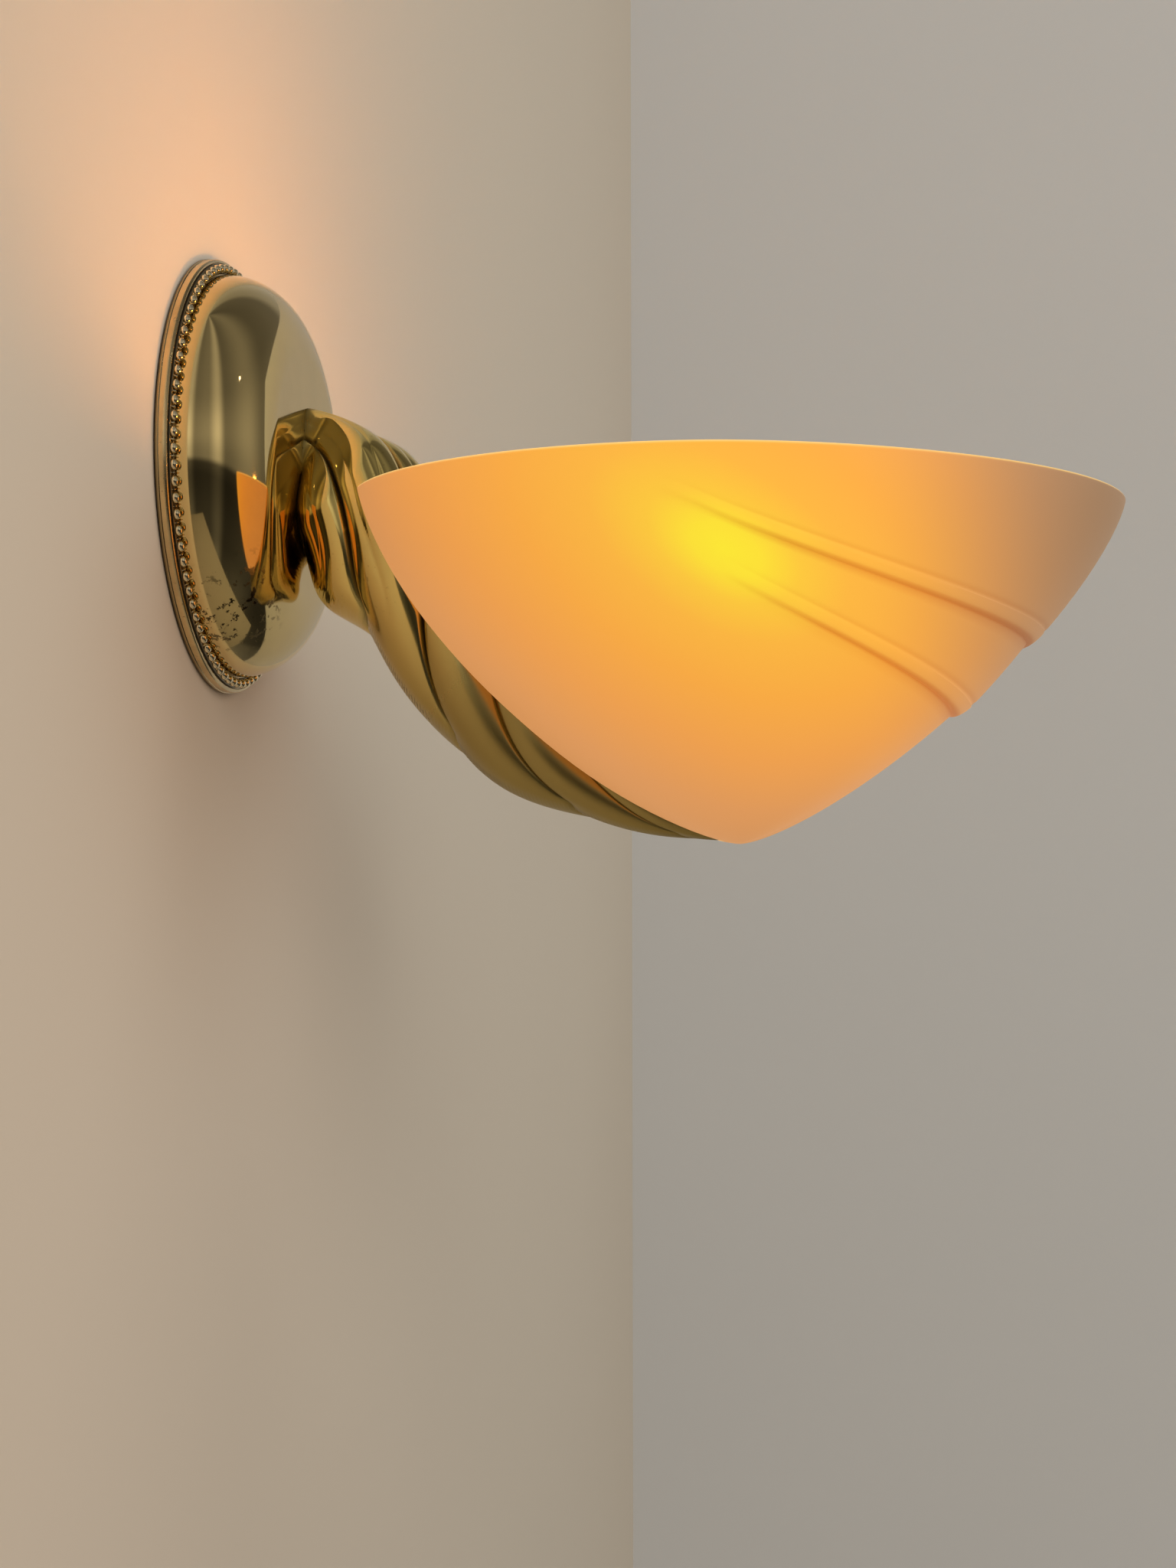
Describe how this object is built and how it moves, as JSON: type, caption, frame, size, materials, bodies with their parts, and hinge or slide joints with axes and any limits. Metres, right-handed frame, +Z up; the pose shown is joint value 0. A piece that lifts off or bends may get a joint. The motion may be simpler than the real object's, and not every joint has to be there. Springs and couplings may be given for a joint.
{
  "type": "wall sconce",
  "caption": "Wall sconce with a round beaded rosette, a fluted twisted brass horn for an arm, and an open shell-shaped frosted glass bowl in front of it that holds a small screw-in bulb.",
  "frame": {"origin": "middle of the wall bracket's two slots, on the wall plane", "axes": "+Z up, +Y into the wall, -Y out into the room"},
  "size_m": [0.152, 0.257, 0.1703],
  "materials": {
    "old_brass": "polished, darkened in the hollows",
    "polished_brass": "mirror polished and lacquered",
    "cast_brass": "polished casting with dark grooves",
    "plain_brass": "machined",
    "holder_brass": "satin",
    "zinc_steel": "zinc plated",
    "shell_metal": "pressed",
    "frosted_glass": "acid frosted, pressed",
    "bulb_glass": "opal coated",
    "stem_glass": "clear",
    "bulb_cap": "pressed",
    "bulb_solder": "soldered",
    "bulb_insulator": "black glass",
    "lead_wire": "drawn",
    "filament": "hot",
    "soft_pad": "matt",
    "holder_ceramic": "unglazed",
    "holder_sleeve": "heat proof, cream",
    "block_plastic": "moulded",
    "live_insulation": "smooth",
    "neutral_insulation": "smooth",
    "earth_insulation": "smooth, striped"
  },
  "bodies": {
    "fixture": {"rosette_rim": "old_brass", "bead_ring": "old_brass", "dome_cover": "polished_brass", "wall_bracket": "zinc_steel", "centre_tube": "zinc_steel", "bracket_nuts": "zinc_steel", "dome_washer": "zinc_steel", "dome_nut": "zinc_steel", "earth_tag": "plain_brass", "earth_screw": "plain_brass", "earth_washer": "plain_brass", "earth_wire": "earth_insulation", "terminal_block": "block_plastic", "terminal_sleeves": "plain_brass", "terminal_screws": "zinc_steel", "block_screw": "zinc_steel", "live_wire": "live_insulation", "neutral_wire": "neutral_insulation", "horn_arm": "cast_brass", "shade_pad_lower": "soft_pad", "shade_pad_upper": "soft_pad", "glass_shade": "frosted_glass", "shade_clamp_disc": "zinc_steel", "shade_clamp_nut": "plain_brass", "holder_tube": "zinc_steel", "holder_cap": "holder_brass", "holder_insert": "holder_ceramic", "holder_terminals": "plain_brass", "centre_contact": "plain_brass", "screw_shell": "shell_metal", "holder_sleeve": "holder_sleeve"},
    "bulb": {"bulb_tip": "bulb_solder", "bulb_insulator": "bulb_insulator", "bulb_cap": "bulb_cap", "bulb_glass": "bulb_glass", "bulb_stem": "stem_glass", "bulb_leads": "lead_wire", "bulb_filament": "filament"}
  },
  "joints": [
    {"name": "bulb_out", "type": "slide", "parent": "fixture", "child": "bulb", "axis": [0, -0.8192, 0.5736], "range_m": [0, 0.035]}
  ]
}
